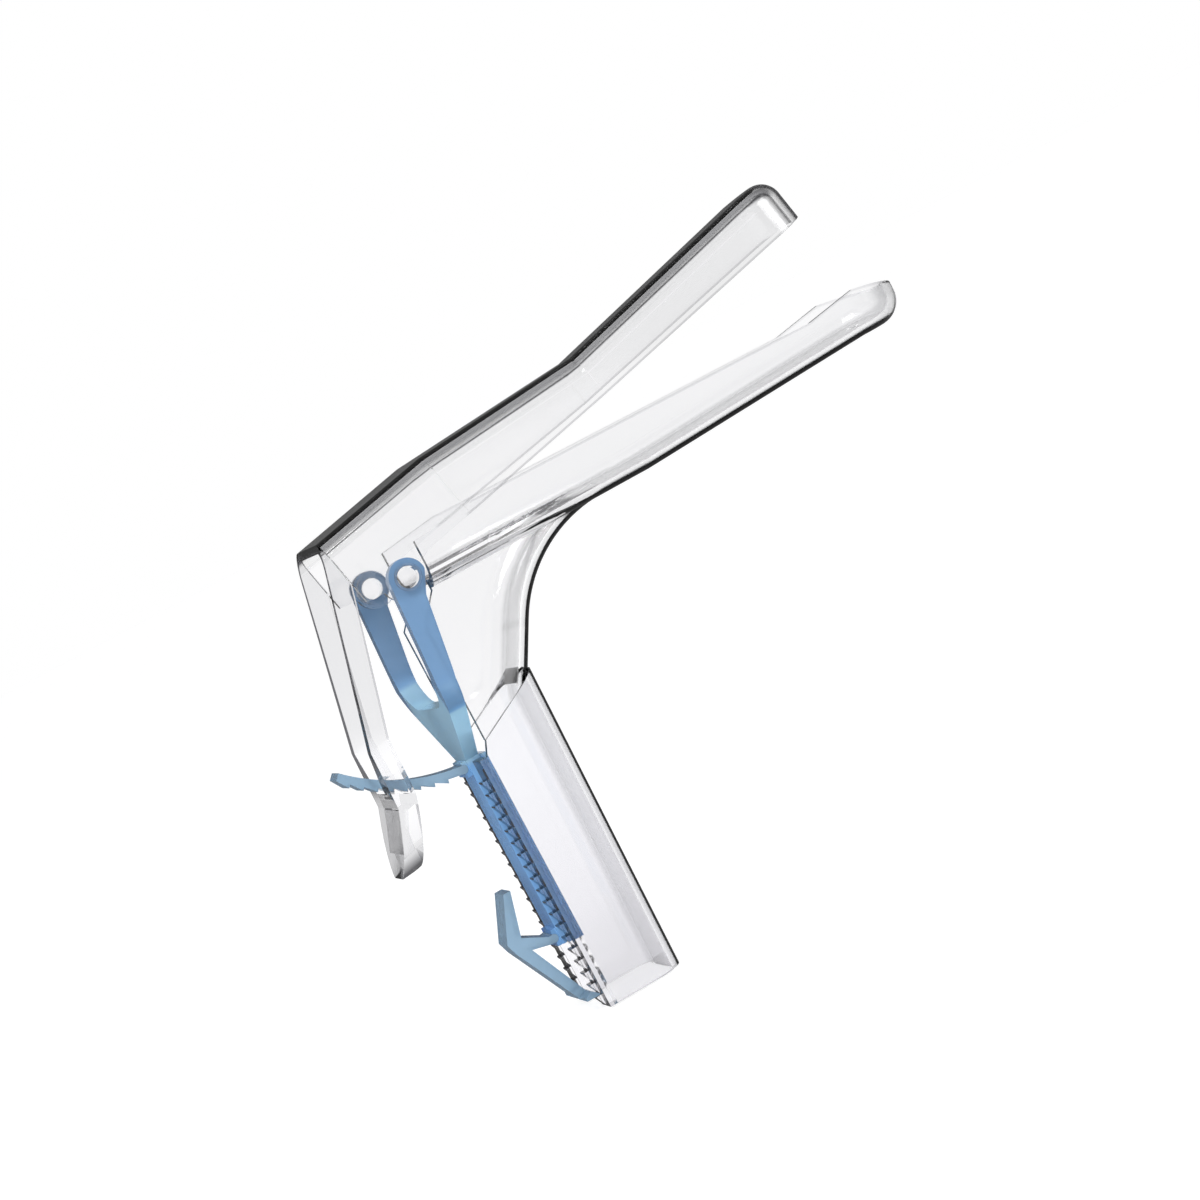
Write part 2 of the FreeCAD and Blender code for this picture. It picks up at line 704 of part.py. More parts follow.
def thumb_lever():
    body = new_body("thumb_lever")
    half_top = upper_wide()
    bar = outline(body, "BarProfile", "XZ_Plane", lever_side_path())
    pad(body, "Bar", bar, 2 * half_top)
    waist = D.lever_waist
    end_center = waist - D.lever_drop - D.lever_lip
    outer = frame_outline(body, "OuterProfile", "YZ_Plane", [
        (half_top, D.hood_crown - D.upper_corner),
        (half_top - D.upper_corner, D.hood_crown, D.upper_corner, 1),
        (D.upper_corner - half_top, D.hood_crown),
        (-half_top, D.hood_crown - D.upper_corner, D.upper_corner, 1),
        (-waist, -D.rail_drop),
        (-waist, end_center),
        (0, end_center - waist, waist, 1),
        (waist, end_center, waist, 1),
        (waist, -D.rail_drop),
    ])
    cut(body, "Outline", outer, 8 * BLANK)
    wall = D.upper_wall
    half_slot = D.strip_half_width + D.slot_gap
    strip_angle = D.latch_angle + D.rest_opening
    neck = D.slot_gap + D.nose_length - D.strip_radius * cosine(strip_angle)
    window = outline(body, "WindowProfile", "YZ_Plane", [
        (half_top - wall, D.hood_crown - D.upper_corner),
        (half_top - D.upper_corner, D.hood_crown - wall, D.upper_corner - wall, 1),
        (D.upper_corner - half_top, D.hood_crown - wall),
        (wall - half_top, D.hood_crown - D.upper_corner, D.upper_corner - wall, 1),
        (D.rail_width - waist, -D.rail_drop),
        (-half_slot, neck),
        (half_slot, neck),
        (waist - D.rail_width, -D.rail_drop),
    ])
    cut(body, "Window", window, 8 * BLANK)
    lip = D.strip_radius + D.tooth_height + D.slot_gap
    top = D.strip_radius - D.strip_thickness - D.lever_depth
    slot = outline(body, "SlotProfile", "XZ_Plane", [
        polar(top, strip_angle - SLOT_REACH),
        (*polar(top, strip_angle + SLOT_REACH), top, -1),
        polar(lip, strip_angle + SLOT_REACH),
        (*polar(lip, strip_angle - SLOT_REACH), lip, 1),
    ])
    cut(body, "Slot", slot, 2 * half_slot)
    floor = D.pad_web - D.pad_back
    end = D.pad_web - D.lever_back
    depth = 2 * D.lever_depth
    recess = outline(body, "RecessProfile", "XZ_Plane", [
        (floor, -(D.pad_drop + D.pad_web)),
        (floor + depth, -(D.pad_drop + D.pad_web)),
        (end + depth, 2 * D.pad_web - D.lever_drop),
        (end + D.pad_web, 2 * D.pad_web - D.lever_drop),
    ])
    cut(body, "Recess", recess, 2 * (waist - D.rail_width))
    add_nose(body, strip_angle, lip, half_slot)
    return body


def add_nose(body, angle, lip, half_slot):
    """The nose that drops between two teeth of the strip, its steep side to the rear."""
    tip = D.strip_radius + D.nose_gap
    play = DEGREES * D.nose_gap / D.strip_radius
    spread = DEGREES * D.nose_length / D.strip_radius
    nose = outline(body, "NoseProfile", "XZ_Plane", [
        polar(tip, angle - play),
        polar(lip + OVERCUT, angle - play),
        polar(lip + OVERCUT, angle - play - spread),
        polar(lip, angle - play - spread),
    ])
    pad(body, "Nose", nose, 2 * half_slot)


def yoke():
    body = new_body("yoke")
    inside = D.arm_inside
    outside = D.arm_inside + D.arm_thickness
    top = D.ear_radius + OVERCUT
    steep = 90 - D.web_slope
    neck = D.neck_half_width
    bend_y = outside - D.web_outer_radius * (1 - cosine(steep))
    bend_z = (bend_y - neck) * tangent(D.web_slope) - web_bottom()
    bend_top = bend_z + D.web_outer_radius * sine(steep)
    inner = D.web_inner_radius
    front = outline(body, "FrontProfile", "YZ_Plane", [
        (outside, top),
        (inside, top),
        (inside, inner - D.web_top),
        (inside - inner, -D.web_top, inner, -1),
        (inner - inside, -D.web_top),
        (-inside, inner - D.web_top, inner, -1),
        (-inside, top),
        (-outside, top),
        (-outside, bend_top),
        (-bend_y, bend_z, D.web_outer_radius, 1),
        (-neck, -web_bottom()),
        (neck, -web_bottom()),
        (bend_y, bend_z),
        (outside, bend_top, D.web_outer_radius, 1),
    ])
    pad(body, "Frame", front, 2 * BLANK)
    ear = D.ear_radius
    side = frame_outline(body, "SideProfile", "XZ_Plane", [
        (-ear, 0, ear, 1),
        (-D.arm_rear, -D.arm_drop),
        (-D.stem_rear, -web_bottom() - OVERCUT),
        (-D.web_front, -web_bottom() - OVERCUT),
        (-D.web_front, -D.arm_drop),
        (D.arm_front, -ear - OVERCUT),
        (ear, 0),
        (0, ear, ear, 1),
    ])
    cut(body, "SideTrim", side, 4 * BLANK)
    hole = new_sketch(body, "HoleProfile", "XZ_Plane")
    draw_circle(hole, 0, 0, D.pin_radius + D.pin_gap)
    cut(body, "PivotHole", hole, 4 * BLANK)
    return body


def slider_stem():
    body = new_body("slider_stem")
    neck = D.neck_half_width
    flange = neck + D.flange_reach
    inner_face = D.slide_gap + D.rear_lip - D.handle_rear
    stem = outline(body, "StemProfile", "XY_Plane", [
        (-D.stem_rear, -neck),
        (inner_face, -neck),
        (inner_face, -flange),
        (D.stem_front, -flange),
        (D.stem_front, flange),
        (inner_face, flange),
        (inner_face, neck),
        (-D.stem_rear, neck),
    ], (0, 0, -(web_bottom() + stem_bottom()) / 2))
    pad(body, "Stem", stem, stem_bottom() - web_bottom())
    x = -root_back()
    fall = D.latch_height
    for number, (drop, rise) in enumerate((
        (root_drop(), D.root_depth),
        (stem_bottom() - D.latch_height, D.latch_height),
    )):
        z = -drop
        seat = outline(body, f"SeatProfile{number}", "XZ_Plane", [
            (x, z + rise),
            (x, z - fall),
            (-D.stem_rear + OVERCUT, z - fall),
            (-D.stem_rear + OVERCUT, z + rise),
        ])
        pad(body, f"Seat{number}", seat, 2 * D.strip_half_width)
        groove = new_sketch(body, f"GrooveProfile{number}", "XZ_Plane")
        draw_circle(groove, x, z, D.knuckle_radius + D.knuckle_gap)
        cut(body, f"Groove{number}", groove, 2 * D.strip_half_width + OVERCUT)
    return body


def angle_ratchet():
    body = new_body("angle_ratchet")
    inner = D.strip_radius - D.strip_thickness
    first = D.latch_angle - TEETH_BEFORE * D.tooth_pitch
    last = first + D.tooth_pitch * (D.tooth_count - 1)
    start = angle_with(root_back(), root_drop())
    strip = outline(body, "StripProfile", "XZ_Plane", [
        polar(inner, start),
        (*polar(inner, last), inner, -1),
        polar(D.strip_radius, last),
        (*polar(D.strip_radius, start), D.strip_radius, 1),
    ])
    width = 2 * D.strip_half_width
    pad(body, "Strip", strip, width)
    root = new_sketch(body, "RootProfile", "XZ_Plane")
    draw_circle(root, -root_back(), -root_drop(), D.knuckle_radius)
    pad(body, "Root", root, width)
    pitch = D.tooth_pitch
    tooth_profile = outline(body, "ToothProfile", "XZ_Plane", [
        polar(strip_middle(), first - pitch),
        polar(strip_middle(), first),
        polar(D.strip_radius, first),
        polar(D.strip_radius + D.tooth_height, first - pitch),
    ])
    tooth = pad(body, "Tooth", tooth_profile, width)
    teeth = body.newObject("PartDesign::PolarPattern", "Teeth")
    teeth.Originals = [tooth]
    teeth.Axis = (origin_item(body, "Y_Axis"), [""])
    teeth.Mode = "Spacing"
    bind(teeth, "Offset", D.tooth_pitch)
    bind(teeth, "Occurrences", D.tooth_count)
    body.Tip = teeth
    return body


def release_latch():
    """A bent hook: thumb tab above, hinge arm ahead, and an arm down to the pawl."""
    body = new_body("release_latch")
    t = D.latch_thickness
    half = t / 2
    root_x = -root_back()
    root_z = D.latch_height - stem_bottom()
    corner_x = -(D.stem_rear + D.latch_corner_back)
    corner_z = D.latch_corner_rise - stem_bottom()
    tab_x = -(D.stem_rear + D.tab_back)
    tab_z = D.tab_height - stem_bottom()
    pawl_x = -(D.handle_rear + D.pawl_gap)
    pawl_z = D.rack_bottom + D.pawl_gap - D.pivot_height
    back_x = -(D.handle_rear + D.rack_depth + D.pawl_back)
    side = outline(body, "SideProfile", "XZ_Plane", [
        (tab_x, tab_z),
        (corner_x - half, corner_z + t),
        (corner_x, corner_z - half),
        (back_x - t, pawl_z),
        (back_x, pawl_z + D.pawl_height),
        (corner_x + 2 * t, corner_z - t),
        (root_x - D.knuckle_radius, root_z - half),
        (root_x, root_z - half),
        (root_x, root_z + half),
        (root_x - D.knuckle_radius, root_z + half),
        (corner_x + t + half, corner_z + t),
        (tab_x + t, tab_z),
    ])
    width = 2 * D.strip_half_width
    pad(body, "Hook", side, width)
    root = new_sketch(body, "RootProfile", "XZ_Plane")
    draw_circle(root, root_x, root_z, D.knuckle_radius)
    pad(body, "Root", root, width)
    nose = outline(body, "PawlProfile", "XZ_Plane", [
        (back_x - t, pawl_z),
        (pawl_x, pawl_z),
        (pawl_x, pawl_z + D.pawl_height / 5),
        (back_x, pawl_z + D.pawl_height),
        (back_x - t, pawl_z + D.pawl_height / 2),
    ])
    pad(body, "Pawl", nose, 2 * rack_middle() + D.rack_width)
    return body


def place_at_pivot(body, opened):
    """Sets a piece at the pivot; an opened piece is turned up by the resting angle."""
    turn = FreeCAD.Rotation(FreeCAD.Vector(0, -1, 0), D.rest_opening.value if opened else 0)
    body.Placement = FreeCAD.Placement(FreeCAD.Vector(0, 0, 0), turn)
    bind(body, "Placement.Base.x", (D.handle_rear - D.foot_front) / 2)
    bind(body, "Placement.Base.z", D.pivot_height)
    if opened:
        bind(body, "Placement.Rotation.Angle", D.rest_opening)


def check(bodies):
    for item in doc.Objects:
        if "Invalid" in item.State or "Error" in item.State:
            raise SystemExit(f"{item.Name} failed: {item.State}")
    for body in bodies:
        if body.Shape.isNull() or not body.Shape.isValid() or not body.Shape.Solids:
            raise SystemExit(f"{body.Label} has no valid solid")


def main():
    still = [lower_blade(), handle(), yoke(), slider_stem(), angle_ratchet(), release_latch()]
    opened = [upper_blade(), thumb_lever()]
    for body in still:
        place_at_pivot(body, False)
    for body in opened:
        place_at_pivot(body, True)
    doc.recompute()
    check(still + opened)
    os.makedirs("parts", exist_ok=True)
    for body in still + opened:
        shape = body.Shape
        shape.exportStep(f"parts/{body.Label}.step")
        print(f"{body.Label}: {shape.Volume:.0f} mm3, {len(shape.Solids)} solid")


main()
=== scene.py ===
"""Looks of a disposable bivalve speculum: clear moulded blades and handle, blue ratchet parts.

Lengths are metres. The frame's nodes keep their meshes; each is given the finish of its name.
"""
import math

import bpy
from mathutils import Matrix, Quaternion, Vector


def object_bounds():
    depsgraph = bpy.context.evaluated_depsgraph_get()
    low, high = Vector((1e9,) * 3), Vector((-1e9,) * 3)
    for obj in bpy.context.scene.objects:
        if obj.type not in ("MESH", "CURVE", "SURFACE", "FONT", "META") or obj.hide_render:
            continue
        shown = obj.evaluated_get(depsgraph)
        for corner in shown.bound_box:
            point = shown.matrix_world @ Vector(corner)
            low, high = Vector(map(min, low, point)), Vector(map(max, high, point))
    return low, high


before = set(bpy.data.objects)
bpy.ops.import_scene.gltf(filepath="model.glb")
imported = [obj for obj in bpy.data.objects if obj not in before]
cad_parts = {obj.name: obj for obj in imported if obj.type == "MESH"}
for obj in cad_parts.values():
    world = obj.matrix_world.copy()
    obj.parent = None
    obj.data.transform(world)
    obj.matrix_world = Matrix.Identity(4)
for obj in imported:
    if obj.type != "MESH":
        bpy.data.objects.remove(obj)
cad_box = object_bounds()
scene = bpy.context.scene

# Camera: seen from the left and a little above, rolled so that the blades rise to the right
RIGHT = Vector((0.970, -0.242, 0)).normalized()
UP = Vector((0.0169, 0.0677, 0.9976)).normalized()
ROLL = math.radians(27.9)
PIVOT = Vector((-0.00675, 0, 0.105))
DISTANCE = 0.68                 # from the camera to the object
FRAME_WIDTH = 0.267             # width of the picture at that distance
AIM_RIGHT = 0.0474              # picture's centre to the right of the pivot, in the picture
AIM_UP = -0.0036                # picture's centre above the pivot, in the picture
SENSOR_WIDTH = 36               # millimetres
CLIP_START, CLIP_END = 0.01, 20

# Lines and centres of the part that the patches of painted light and shade follow, at rest
BLADE_FLOOR = ((0.05725, 0.1001), (0.11775, 0.1035))        # X and Z under the lower blade
HANDLE_FRONT = ((0.0, 0.00975), (0.0737, 0.01125))          # Z and X of the handle's front
UPPER_RIM = ((0.0135, 0.11053), (0.0556, 0.11948), (0.1120, 0.13319))       # X and Z
LOWER_RIM = ((0.01425, 0.1130), (0.10525, 0.1120), (0.11775, 0.1142), (0.1268, 0.1125))
BEND_CENTER = (0.04495, 0.0671)         # X and Z of the axis that the bend is turned about
FOOT_ANGLE = math.radians(150)          # way from that axis that is square to the foot's front

# Noise: scale and detail
CLEAR_BROAD, CLEAR_FINE = (35.0, 2.0), (420.0, 3.0)
BLUE_BROAD, BLUE_FINE = (60.0, 2.0), (900.0, 3.0)
FLOOR_GRAIN = (40.0, 4.0)
NOISE_LOW, NOISE_HIGH = 0.3, 0.7        # the values between which noise changes a colour

# Bumps: strength and height
CLEAR_BUMP = (0.06, 0.0004)
BLUE_BUMP = (0.1, 0.0002)
FLOOR_BUMP = (0.02, 0.0002)

CLEAR_DULLEST = 0.985                   # the tint where noise is low, as a share of itself
CLEAR_ROUGHNESS = (0.6, 1.6)            # least and greatest share of the finish's roughness
CLEAR_DENSITY = 30.0                    # how much the plastic absorbs
BLADE_BENDING = 1.49
LEVER_BENDING = 1.18                    # lower, so that the thick pad isn't black with reflections
BLUE_SHADES = (0.94, 1.05)              # the blue where noise is low and high
BLUE_ROUGHNESS = (0.8, 1.3)
BLUE_BENDING = 1.5
BLUE_THROUGH = 0.5                      # share of the light that passes

# How far a face is turned from view where its painted edge shade starts, and where it is full
THIN_PAINTED_EDGE_SHADE = (0.38, 0.66)
WIDE_PAINTED_EDGE_SHADE = (0.20, 0.46)
LEVER_PAINTED_EDGE_SHADE = (0.20, 0.50)

FLOOR_HALF = 20.0
FLOOR_GAP = 0.0005                      # from the floor to the foot, so that no faces coincide
FLOOR_GRAYS = (0.30, 0.32)
FLOOR_ROUGHNESS = 0.9
FLOOR_SPECULAR = 0.1
FLOOR_GLOW = 0.88

# Sky: how bright at each height, from the horizon to overhead
SKY = (
    (0.0, (0.92, 0.92, 0.92)),
    (0.2, (0.92, 0.92, 0.92)),
    (0.45, (0.25, 0.25, 0.26)),
    (1.0, (0.35, 0.35, 0.36)),
)
REFLECTED_SKY = (0.14, 0.14, 0.14)
BACKDROP = (1, 1, 1, 1)

# Lights: place, width and height, power. Both aim at the middle of the object.
LIGHT_AIM = Vector((0.04, 0, 0.08))
LIGHTS = {
    "key": ((-0.3, -0.7, 0.9), (0.5, 0.5), 9),
    "fill": ((0.8, -0.5, 0.5), (0.4, 0.6), 4),
}


def add_camera():
    back = RIGHT.cross(UP)
    across = RIGHT * math.cos(ROLL) - UP * math.sin(ROLL)
    upward = RIGHT * math.sin(ROLL) + UP * math.cos(ROLL)
    target = PIVOT + across * AIM_RIGHT + upward * AIM_UP
    data = bpy.data.cameras.new("camera")
    data.sensor_width = SENSOR_WIDTH
    data.lens = SENSOR_WIDTH * DISTANCE / FRAME_WIDTH
    data.clip_start, data.clip_end = CLIP_START, CLIP_END
    camera = bpy.data.objects.new("camera", data)
    scene.collection.objects.link(camera)
    camera.rotation_mode = "QUATERNION"
    camera.location = target + back * DISTANCE
    camera.rotation_quaternion = back.to_track_quat("Z", "Y")
    # the track quaternion's own up axis is turned about the view axis onto the picture's up axis
    own_up = camera.rotation_quaternion @ Vector((0, 1, 0))
    own_right = camera.rotation_quaternion @ Vector((1, 0, 0))
    turn = math.atan2(-upward.dot(own_right), upward.dot(own_up))
    camera.rotation_quaternion = Quaternion(back, turn) @ camera.rotation_quaternion
    scene.camera = camera


class Nodes:
    """A node tree, with short ways to add the nodes that the finishes are made of."""

    def __init__(self, tree):
        self.tree = tree
        tree.nodes.clear()

    def put(self, socket, value):
        """Link a socket to another, or set it. A colour may lack its alpha."""
        if isinstance(value, bpy.types.NodeSocket):
            self.tree.links.new(value, socket)
        elif socket.type == "RGBA" and len(value) == 3:
            socket.default_value = (*value, 1)
        else:
            socket.default_value = value

    def add(self, kind, settings=None, **inputs):
        node = self.tree.nodes.new(kind)
        for key, value in (settings or {}).items():
            setattr(node, key, value)
        for key, value in inputs.items():
            self.put(node.inputs[key.replace("_", " ")], value)
        return node

    def place(self, output):
        return self.add("ShaderNodeTexCoord").outputs[output]

    def noise(self, where, scale, detail):
        node = self.add("ShaderNodeTexNoise", Vector=where, Scale=scale, Detail=detail)
        return node.outputs["Fac"]

    def bump(self, height, strength, distance):
        node = self.add("ShaderNodeBump", Strength=strength, Distance=distance, Height=height)
        return node.outputs["Normal"]

    def calculate(self, operation, *values):
        node = self.add("ShaderNodeMath", {"operation": operation})
        for socket, value in zip(node.inputs, values):
            self.put(socket, value)
        return node.outputs["Value"]

    def ramp(self, factor, stops):
        """A colour for each value of the factor; the stops are places with their colours."""
        node = self.add("ShaderNodeValToRGB", Fac=factor)
        elements = node.color_ramp.elements
        while len(elements) < len(stops):
            elements.new(0.5)
        for element, (place, color) in zip(elements, stops):
            element.position = place
            element.color = (*color, 1)
        return node.outputs["Color"]

    def blend(self, factor, first, second):
        """A colour between two."""
        node = self.add("ShaderNodeMix", {"data_type": "RGBA"})
        self.put(node.inputs[0], factor)
        colors = [socket for socket in node.inputs if socket.type == "RGBA"]
        for socket, value in zip(colors, (first, second)):
            self.put(socket, value)
        return [socket for socket in node.outputs if socket.type == "RGBA"][0]

    def spread(self, value, start, end, first=0.0, last=1.0, curve="LINEAR"):
        """A value that runs from first to last while another runs from start to end."""
        node = self.add(
            "ShaderNodeMapRange", {"interpolation_type": curve},
            Value=value, From_Min=start, From_Max=end, To_Min=first, To_Max=last)
        return node.outputs["Result"]

    def follow(self, along, corners):
        """The height of a line through corners, each a place along it and its height there."""
        (start, low), (end, high) = corners[:2]
        height = self.spread(along, start, end, low, high)
        for (start, low), (end, high) in zip(corners[1:], corners[2:]):
            rise = self.spread(along, start, end, 0.0, high - low)
            height = self.calculate("ADD", height, rise)
        return height


def new_material(name):
    material = bpy.data.materials.new(name)
    material.use_nodes = True
    return material, Nodes(material.node_tree)


def measures(nodes, where):
    """What the patches are limited by: places, and distances from the part's main faces."""
    parts = nodes.add("ShaderNodeSeparateXYZ", Vector=where)
    x, z = parts.outputs["X"], parts.outputs["Z"]
    run = nodes.calculate("SUBTRACT", x, BEND_CENTER[0])
    rise = nodes.calculate("SUBTRACT", z, BEND_CENTER[1])
    square = nodes.calculate(
        "ADD", nodes.calculate("POWER", run, 2.0), nodes.calculate("POWER", rise, 2.0))
    return {
        "x": x,
        "aside": nodes.calculate("ABSOLUTE", parts.outputs["Y"]),
        "z": z,
        "over_floor": nodes.calculate("SUBTRACT", z, nodes.follow(x, BLADE_FLOOR)),
        "behind_front": nodes.calculate("SUBTRACT", nodes.follow(z, HANDLE_FRONT), x),
        "over_upper_rim": nodes.calculate("SUBTRACT", z, nodes.follow(x, UPPER_RIM)),
        "under_lower_rim": nodes.calculate("SUBTRACT", nodes.follow(x, LOWER_RIM), z),
        "from_bend": nodes.calculate("SQRT", square),
        "across_foot": nodes.calculate(
            "SUBTRACT",
            nodes.calculate("MULTIPLY", rise, math.sin(FOOT_ANGLE)),
            nodes.calculate("MULTIPLY", run, -math.cos(FOOT_ANGLE))),
    }


def patch(color, **limits):
    """A colour and its limits: for each measure, where the colour starts and where it is full."""
    return color, limits


def patched(nodes, where, color, patches):
    if not patches:
        return color
    measured = measures(nodes, where)
    for patch_color, limits in patches:
        share = None
        for name, (start, end) in limits.items():
            part = nodes.spread(measured[name], start, end, curve="SMOOTHSTEP")
            share = part if share is None else nodes.calculate("MULTIPLY", share, part)
        color = nodes.blend(share, color, patch_color)
    return color


def clear_plastic(name, tint, painted_edge_shade_color, roughness, patches, painted_edge_shade_patches, painted_edge_shade_range, bending):
    """Clear moulded plastic, faintly uneven in gloss, with painted shade: its base colour darkens
    where it is seen edge on, and its patches paint shade into its tint.
    """
    material, nodes = new_material(name)
    where = nodes.place("Object")
    broad = nodes.noise(where, *CLEAR_BROAD)
    fine = nodes.noise(where, *CLEAR_FINE)
    dull = [share * CLEAR_DULLEST for share in tint]
    clear = nodes.ramp(broad, ((NOISE_LOW, dull), (NOISE_HIGH, tint)))
    # painted shade: the patches darken the clear tint where given
    clear = patched(nodes, where, clear, patches)
    # painted shade: where a face is seen edge on, the base colour turns to the dark edge colour,
    # an outline standing in for the dark edges of clear plastic
    facing = nodes.add("ShaderNodeLayerWeight", Blend=0.5).outputs["Facing"]
    edge_shade_start, edge_shade_full = painted_edge_shade_range
    edge_shade_share = nodes.ramp(facing, ((edge_shade_start, (0, 0, 0)), (edge_shade_full, (1, 1, 1))))
    painted_edge_color = patched(nodes, where, painted_edge_shade_color, painted_edge_shade_patches)
    smoothest, roughest = CLEAR_ROUGHNESS
    shader = nodes.add(
        "ShaderNodeBsdfPrincipled",
        Base_Color=nodes.blend(edge_shade_share, clear, painted_edge_color),
        Roughness=nodes.spread(fine, 0.0, 1.0, roughness * smoothest, roughness * roughest),
        Normal=nodes.bump(broad, *CLEAR_BUMP),
        IOR=bending,
        Transmission_Weight=1.0,
    )
    volume = nodes.add("ShaderNodeVolumeAbsorption", Color=tint, Density=CLEAR_DENSITY)
    nodes.add(
        "ShaderNodeOutputMaterial",
        Surface=shader.outputs["BSDF"],
        Volume=volume.outputs["Volume"],
    )
    return material


def blue_plastic(name, base, roughness, patches):
    """Blue moulded plastic that lets some light through; its patches, where given, paint light and
    shade into its colour.
    """
    material, nodes = new_material(name)
    where = nodes.place("Object")
    broad = nodes.noise(where, *BLUE_BROAD)
    fine = nodes.noise(where, *BLUE_FINE)
    darkest, lightest = BLUE_SHADES
    color = nodes.ramp(broad, (
        (NOISE_LOW, [share * darkest for share in base]),
        (NOISE_HIGH, [min(1, share * lightest) for share in base]),
    ))
    smoothest, roughest = BLUE_ROUGHNESS
    shader = nodes.add(
        "ShaderNodeBsdfPrincipled",
        Base_Color=patched(nodes, where, color, patches),
        Roughness=nodes.spread(fine, 0.0, 1.0, roughness * smoothest, roughness * roughest),
        Normal=nodes.bump(fine, *BLUE_BUMP),
        IOR=BLUE_BENDING,
        Transmission_Weight=BLUE_THROUGH,
    )
    nodes.add("ShaderNodeOutputMaterial", Surface=shader.outputs["BSDF"])
    return material


# Patches of painted shade on the blades' tint: deeper towards the underside, and a dark line along
# each rim
BLADE_UNDERSIDE_PAINTED_SHADE = patch((0.95, 0.95, 0.955), x=(0.03, 0.07), z=(0.113, 0.100))
UPPER_RIM_PAINTED_SHADE = patch((0.70, 0.70, 0.71), over_upper_rim=(0.0006, 0.0003), x=(0.012, 0.014))
LOWER_RIM_PAINTED_SHADE = patch((0.84, 0.84, 0.85), under_lower_rim=(0.0006, 0.0003), x=(0.013, 0.015))

# Patches of the painted edge shade's colour: grey painted shade on inner faces that the dark
# outline leaves out
INNER_PAINTED_SHADE = (0.55, 0.55, 0.56)
BLADE_INSIDE_PAINTED_SHADE = (
    patch((0.6, 0.6, 0.61), aside=(0.0133, 0.0140), z=(0.111, 0.108), x=(0.060, 0.050)),
    patch(INNER_PAINTED_SHADE, over_floor=(0.0012, 0.0018), z=(0.116, 0.115)),
    patch(INNER_PAINTED_SHADE, from_bend=(0.0338, 0.0346), x=(0.046, 0.044), z=(0.082, 0.085),
          over_floor=(0.0, -0.001)),
    patch(INNER_PAINTED_SHADE, across_foot=(0.0338, 0.0346), z=(0.085, 0.082)),
)
HANDLE_INSIDE_PAINTED_SHADE = patch((0.55, 0.55, 0.57), behind_front=(0.0011, 0.0016), x=(0.001, 0.002))
PAD_PAINTED_SHADE = patch((0.5, 0.5, 0.51), z=(0.066, 0.062))

# Patches of painted light and shade on the other pieces: the handle's painted shade deepens
# towards its foot, and the lever's rails get painted shade
HANDLE_FOOT_PAINTED_SHADE = patch((0.87, 0.866, 0.885), x=(-0.02, -0.01), z=(0.07, 0.0))
LEVER_RAILS_PAINTED_SHADE = patch((0.82, 0.82, 0.83), z=(0.07, 0.08), x=(-0.010, -0.014))
# painted light on the yoke's web, and painted shade on its arms
YOKE_WEB_PAINTED_LIGHT = patch((0.5, 0.8, 1.0), z=(0.0605, 0.0625), aside=(0.0205, 0.0195))
YOKE_ARMS_PAINTED_SHADE = patch((0.20, 0.355, 0.57), aside=(0.0195, 0.0215))

FINISHES = {
    "upper_blade": clear_plastic(
        "clear_blade_finish",
        tint=(0.97, 0.97, 0.975),
        painted_edge_shade_color=(0.008, 0.008, 0.009),
        roughness=0.05,
        patches=(BLADE_UNDERSIDE_PAINTED_SHADE, UPPER_RIM_PAINTED_SHADE),
        painted_edge_shade_patches=BLADE_INSIDE_PAINTED_SHADE,
        painted_edge_shade_range=THIN_PAINTED_EDGE_SHADE,
        bending=BLADE_BENDING,
    ),
    "lower_blade": clear_plastic(
        "clear_lower_finish",
        tint=(0.97, 0.97, 0.975),
        painted_edge_shade_color=(0.008, 0.008, 0.009),
        roughness=0.05,
        patches=(BLADE_UNDERSIDE_PAINTED_SHADE, LOWER_RIM_PAINTED_SHADE),
        painted_edge_shade_patches=BLADE_INSIDE_PAINTED_SHADE,
        painted_edge_shade_range=WIDE_PAINTED_EDGE_SHADE,
        bending=BLADE_BENDING,
    ),
    "handle": clear_plastic(
        "clear_handle_finish",
        tint=(0.96, 0.96, 0.975),
        painted_edge_shade_color=(0.008, 0.008, 0.010),
        roughness=0.06,
        patches=(HANDLE_FOOT_PAINTED_SHADE,),
        painted_edge_shade_patches=(HANDLE_INSIDE_PAINTED_SHADE,),
        painted_edge_shade_range=WIDE_PAINTED_EDGE_SHADE,
        bending=BLADE_BENDING,
    ),
    "thumb_lever": clear_plastic(
        "clear_lever_finish",
        tint=(0.95, 0.95, 0.96),
        painted_edge_shade_color=(0.03, 0.03, 0.035),
        roughness=0.06,
        patches=(LEVER_RAILS_PAINTED_SHADE,),
        painted_edge_shade_patches=(PAD_PAINTED_SHADE,),
        painted_edge_shade_range=LEVER_PAINTED_EDGE_SHADE,
        bending=LEVER_BENDING,
    ),
    "yoke": blue_plastic(
        "blue_frame_finish",
        base=(0.27, 0.56, 0.97),
        roughness=0.2,
        patches=(YOKE_WEB_PAINTED_LIGHT, YOKE_ARMS_PAINTED_SHADE),
    ),
    "angle_ratchet": blue_plastic(
        "blue_spring_finish",
        base=(0.33, 0.50, 0.66),
        roughness=0.22,
        patches=(),
    ),
}
FINISHES["slider_stem"] = FINISHES["yoke"]
FINISHES["release_latch"] = FINISHES["angle_ratchet"]


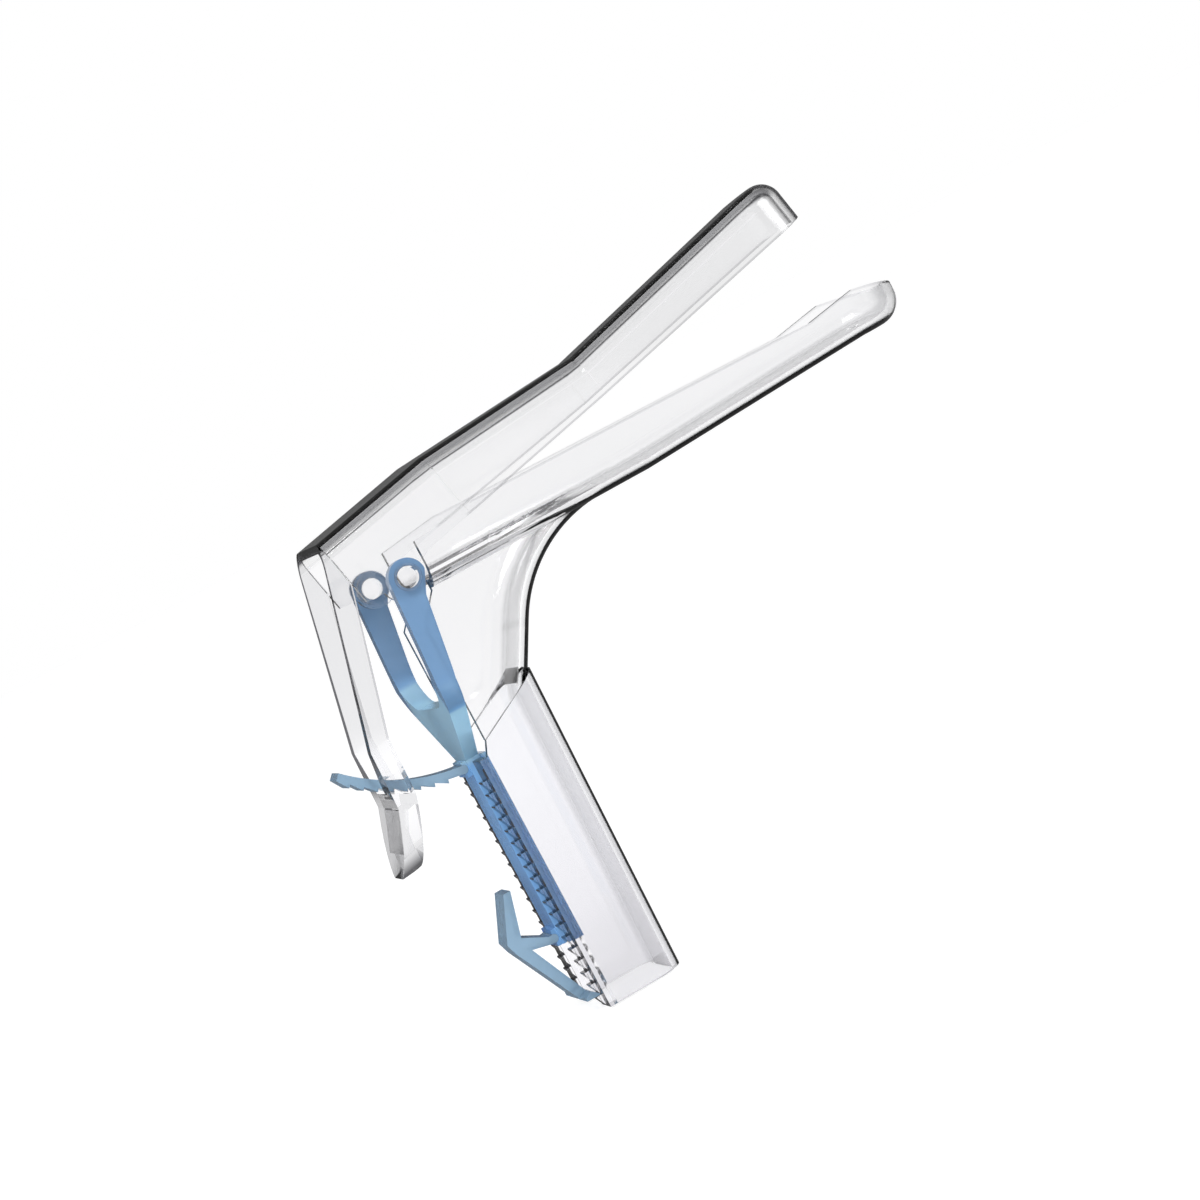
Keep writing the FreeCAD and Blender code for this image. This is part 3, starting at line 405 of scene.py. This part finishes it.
def add_floor():
    """A plain white floor under the foot that glows, so that it throws no shadow."""
    half = FLOOR_HALF
    mesh = bpy.data.meshes.new("floor")
    corners = [(-half, -half, 0), (half, -half, 0), (half, half, 0), (-half, half, 0)]
    mesh.from_pydata(corners, [], [(0, 1, 2, 3)])
    floor = bpy.data.objects.new("floor", mesh)
    scene.collection.objects.link(floor)
    floor.location.z = cad_box[0].z - FLOOR_GAP
    floor.visible_glossy = False
    material, nodes = new_material("floor_finish")
    grain = nodes.noise(nodes.place("Object"), *FLOOR_GRAIN)
    darker, lighter = FLOOR_GRAYS
    shader = nodes.add(
        "ShaderNodeBsdfPrincipled",
        Base_Color=nodes.ramp(grain, ((NOISE_LOW, [darker] * 3), (NOISE_HIGH, [lighter] * 3))),
        Roughness=FLOOR_ROUGHNESS,
        Normal=nodes.bump(grain, *FLOOR_BUMP),
        Specular_IOR_Level=FLOOR_SPECULAR,
        Emission_Color=(1, 1, 1, 1),
        Emission_Strength=FLOOR_GLOW,
    )
    nodes.add("ShaderNodeOutputMaterial", Surface=shader.outputs["BSDF"])
    mesh.materials.append(material)


def add_world():
    """White to the camera; to light, bright near the horizon; to gloss, dim all over."""
    scene.world = bpy.data.worlds.new("studio")
    scene.world.use_nodes = True
    nodes = Nodes(scene.world.node_tree)
    parts = nodes.add("ShaderNodeSeparateXYZ", Vector=nodes.place("Generated"))
    path = nodes.add("ShaderNodeLightPath").outputs
    # refraction counts as glossy and diffuse light as reflected, so only both together are gloss
    gloss = nodes.calculate("MULTIPLY", path["Is Reflection Ray"], path["Is Glossy Ray"])
    color = nodes.blend(gloss, nodes.ramp(parts.outputs["Z"], SKY), REFLECTED_SKY)
    around = nodes.add("ShaderNodeBackground", Color=color, Strength=1.0)
    behind = nodes.add("ShaderNodeBackground", Color=BACKDROP, Strength=1.0)
    both = nodes.add("ShaderNodeMixShader", Fac=path["Is Camera Ray"])
    nodes.put(both.inputs[1], around.outputs["Background"])
    nodes.put(both.inputs[2], behind.outputs["Background"])
    nodes.add("ShaderNodeOutputWorld", Surface=both.outputs["Shader"])


def add_light(name, place, size, power):
    data = bpy.data.lights.new(name, "AREA")
    data.shape = "RECTANGLE"
    data.size, data.size_y = size
    data.energy = power
    light = bpy.data.objects.new(name, data)
    scene.collection.objects.link(light)
    light.location = place
    light.rotation_mode = "QUATERNION"
    light.rotation_quaternion = (Vector(place) - LIGHT_AIM).to_track_quat("Z", "Y")


add_camera()
for name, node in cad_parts.items():
    for slot in node.material_slots:
        slot.material = FINISHES[name]
add_floor()
add_world()
for name, (place, size, power) in LIGHTS.items():
    add_light(name, place, size, power)

scene.view_settings.view_transform = "Standard"
